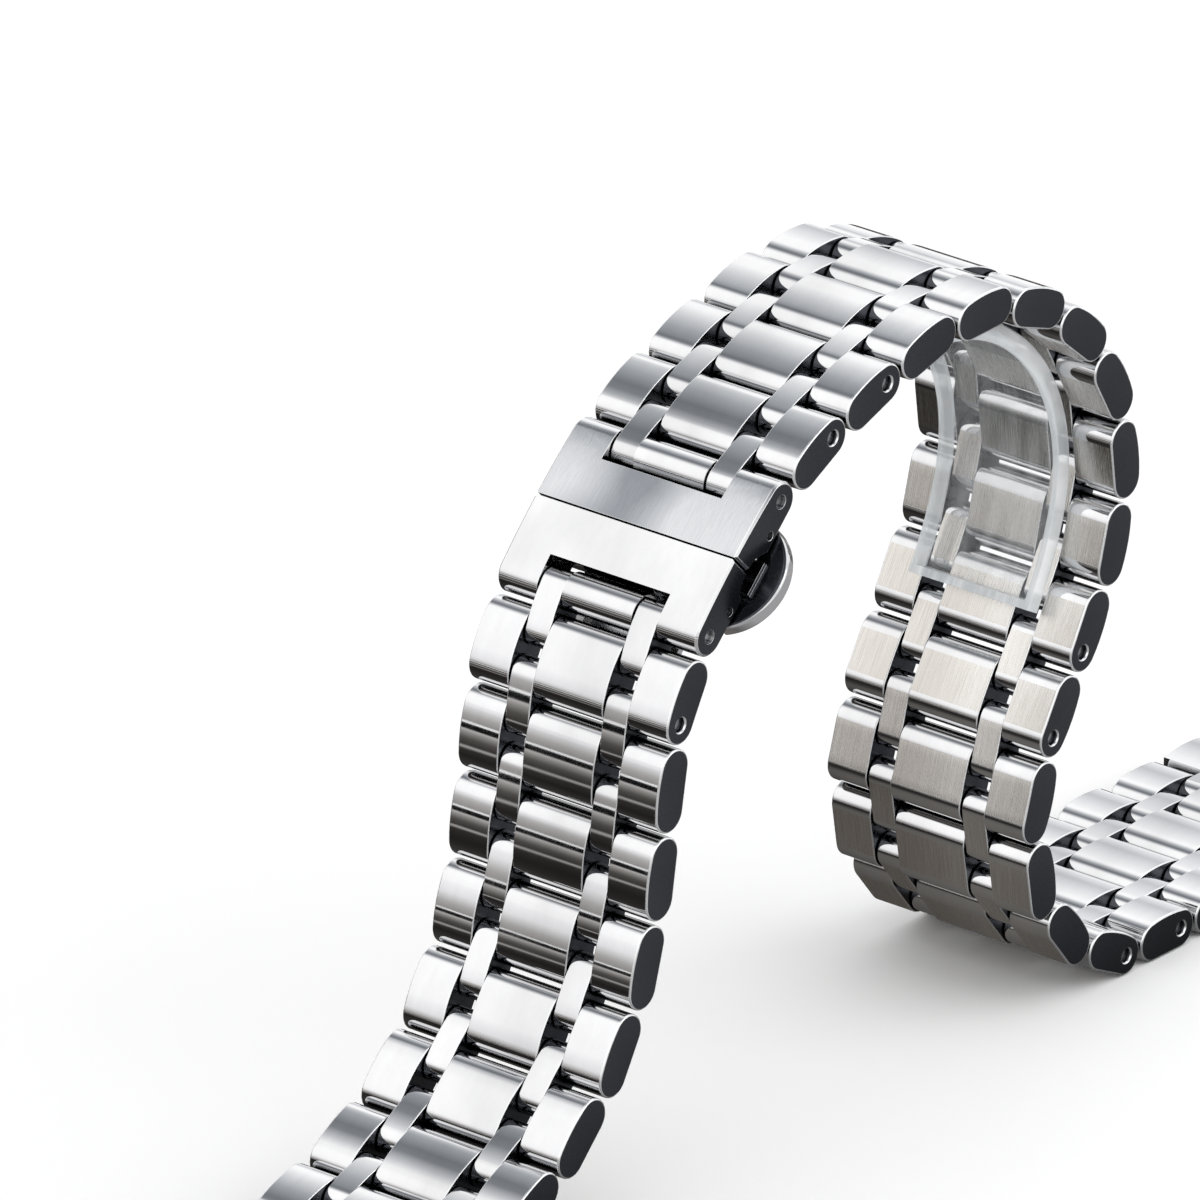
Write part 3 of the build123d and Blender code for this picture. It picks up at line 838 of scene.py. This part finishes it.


# %% [markdown]
# ## Table card
# Under the band lies a round card that only reflections see, painted as a table top: grey in the
# middle, dark round it with one thin bright ring, pale further out, and black at its edge. The
# links above the left foot show these rings as lines, as painted reflections. Its near half is
# painted as pale paper, which brightens the rims of the end faces.

# %% Table card
TABLE_RADIUS, TABLE_HEIGHT, TABLE_SIDES, TABLE_GLOW = 0.4, -0.05 * MM, 96, 1.0
TABLE_STOPS = [(0.0, "#787572"), (0.02, "#6a6764"), (0.035, "#3d3b39"), (0.06, "#2e2c2b"),
               (0.08, "#262423"), (0.105, "#35322f"), (0.112, "#b9b6b3"), (0.119, "#3c3937"),
               (0.15, "#5a5754"), (0.2, "#a09d9a"), (0.235, "#c9c6c3"), (0.246, "#8d8a87"),
               (0.25, "#111112"), (0.4, "#1b1c1d")]
PAPER_STOPS = [(-0.03, "#b4b4b5"), (0.0, "#000000")]


def shade_by_distance(tree):
    """Rings in metres from the middle, or the paper's shade by its Y where that is lighter."""
    spot = add_node(tree, "ShaderNodeTexCoord").outputs["Object"]
    away = add_node(tree, "ShaderNodeVectorMath", {0: spot}, operation="LENGTH").outputs["Value"]
    along = add_node(tree, "ShaderNodeSeparateXYZ", {"Vector": spot}).outputs["Y"]
    rings, paper = stripes(tree, away, TABLE_STOPS), stripes(tree, along, PAPER_STOPS)
    lighter = add_node(tree, "ShaderNodeVectorMath", {0: rings, 1: paper}, operation="MAXIMUM")
    return lighter.outputs["Vector"]


shape = bmesh.new()
bmesh.ops.create_circle(shape, cap_ends=True, segments=TABLE_SIDES, radius=TABLE_RADIUS)
bmesh.ops.translate(shape, verts=shape.verts, vec=(0, 0, TABLE_HEIGHT))
card("table_card", mesh_from(shape, "table_card"), shade_by_distance, TABLE_GLOW)

# %% [markdown]
# ## Light tent
# Over the band stands half a tube along Y that only reflections see, glowing white with grey
# stripes: painted reflections. A link's crown spans forty degrees of it, so the stripes are placed
# by their angle.

# %% Light tent
TENT_RADIUS, TENT_START, TENT_END, TENT_STEPS, TENT_GLOW = 0.45, -0.6, 1.4, 72, 1.3
TENT_STOPS = [(0, "#fbfbfb"), (10, "#e9eaec"), (22, "#c4c6c9"), (34, "#e4e5e7"), (46, "#ffffff"),
              (56, "#fdfdfd"), (66, "#d5d7d9"), (78, "#a3a6aa"), (90, "#74777b"), (96, "#7d8084"),
              (104, "#c2c4c7"), (110, "#f4f4f4"), (118, "#ffffff"), (135, "#ffffff"),
              (158, "#fbfbfb"), (168, "#e3e3e4"), (175, "#a8a6a4"), (180, "#8b8886")]


def tent_mesh():
    shape = bmesh.new()
    edges = []
    for i in range(TENT_STEPS + 1):
        turn = math.pi * i / TENT_STEPS
        x, z = TENT_RADIUS * math.cos(turn), TENT_RADIUS * math.sin(turn)
        edges.append([shape.verts.new((x, y, z)) for y in (TENT_START, TENT_END)])
    for near, far in zip(edges, edges[1:]):
        shape.faces.new((near[0], near[1], far[1], far[0]))
    return mesh_from(shape, "tent_card")


def shade_by_angle(tree):
    """Stripes in degrees up from +X, seen from the middle of the band."""
    spot = add_node(tree, "ShaderNodeTexCoord").outputs["Object"]
    parts = add_node(tree, "ShaderNodeSeparateXYZ", {"Vector": spot}).outputs
    angle = add_node(tree, "ShaderNodeMath", {0: parts["Z"], 1: parts["X"]}, operation="ARCTAN2")
    degrees = add_node(tree, "ShaderNodeMath", {0: angle.outputs[0]}, operation="DEGREES")
    return stripes(tree, degrees.outputs[0], TENT_STOPS)


card("tent_card", tent_mesh(), shade_by_angle, TENT_GLOW)

# %% [markdown]
# ## Lamp
# One wide, soft lamp in front gives the floor its faint shadow. A small lamp would draw hard
# shadows, and more power would bleach the pale floor.

# %% Lamp
LAMP_AT, LAMP_AIM = Vector((0.22, -0.42, 0.4)), Vector((0.02, -0.02, 0.0))
LAMP_SIZE, LAMP_POWER = (0.6, 0.4), 1.0
light = bpy.data.lights.new("key_light", "AREA")
light.shape = "RECTANGLE"
light.size, light.size_y = LAMP_SIZE
light.energy = LAMP_POWER
lamp = add_object("key_light", light)
lamp.location = LAMP_AT
lamp.rotation_euler = (LAMP_AIM - LAMP_AT).to_track_quat("-Z", "Y").to_euler()
print("lamp", light.energy, "W")

# %% [markdown]
# ## Camera
# The photo was taken from above the left foot with a long lens: the far ends of the rows are
# hardly smaller than the near ones. The camera is rolled by one degree. Its numbers come from a
# fit to the outlines of the rows, which is closer than turning it by eye.

# %% Camera
LENS, SENSOR_WIDTH, CLIP_START = 600, 36, 0.01
AZIMUTH, ELEVATION, ROLL = (math.radians(value) for value in (-51.375, 23.245, 1.083))
DISTANCE = 1.4028
TARGET = Vector((-0.01935, 0, 0.04337))
camera_data = bpy.data.cameras.new("camera")
camera_data.lens = LENS
camera_data.sensor_width = SENSOR_WIDTH
camera_data.clip_start = CLIP_START
camera = add_object("camera", camera_data)
forward = Vector((-math.sin(AZIMUTH) * math.cos(ELEVATION),
                  math.cos(AZIMUTH) * math.cos(ELEVATION), -math.sin(ELEVATION)))
right = forward.cross(Vector((0, 0, 1))).normalized()
up = right.cross(forward)
right, up = (right * math.cos(ROLL) + up * math.sin(ROLL),
             up * math.cos(ROLL) - right * math.sin(ROLL))
stand = Matrix((right, up, -forward)).transposed().to_4x4()
stand.translation = TARGET - forward * DISTANCE
camera.matrix_world = stand
bpy.context.scene.camera = camera
bpy.context.scene.view_settings.view_transform = "Standard"
print("camera at", [round(value, 3) for value in stand.translation])
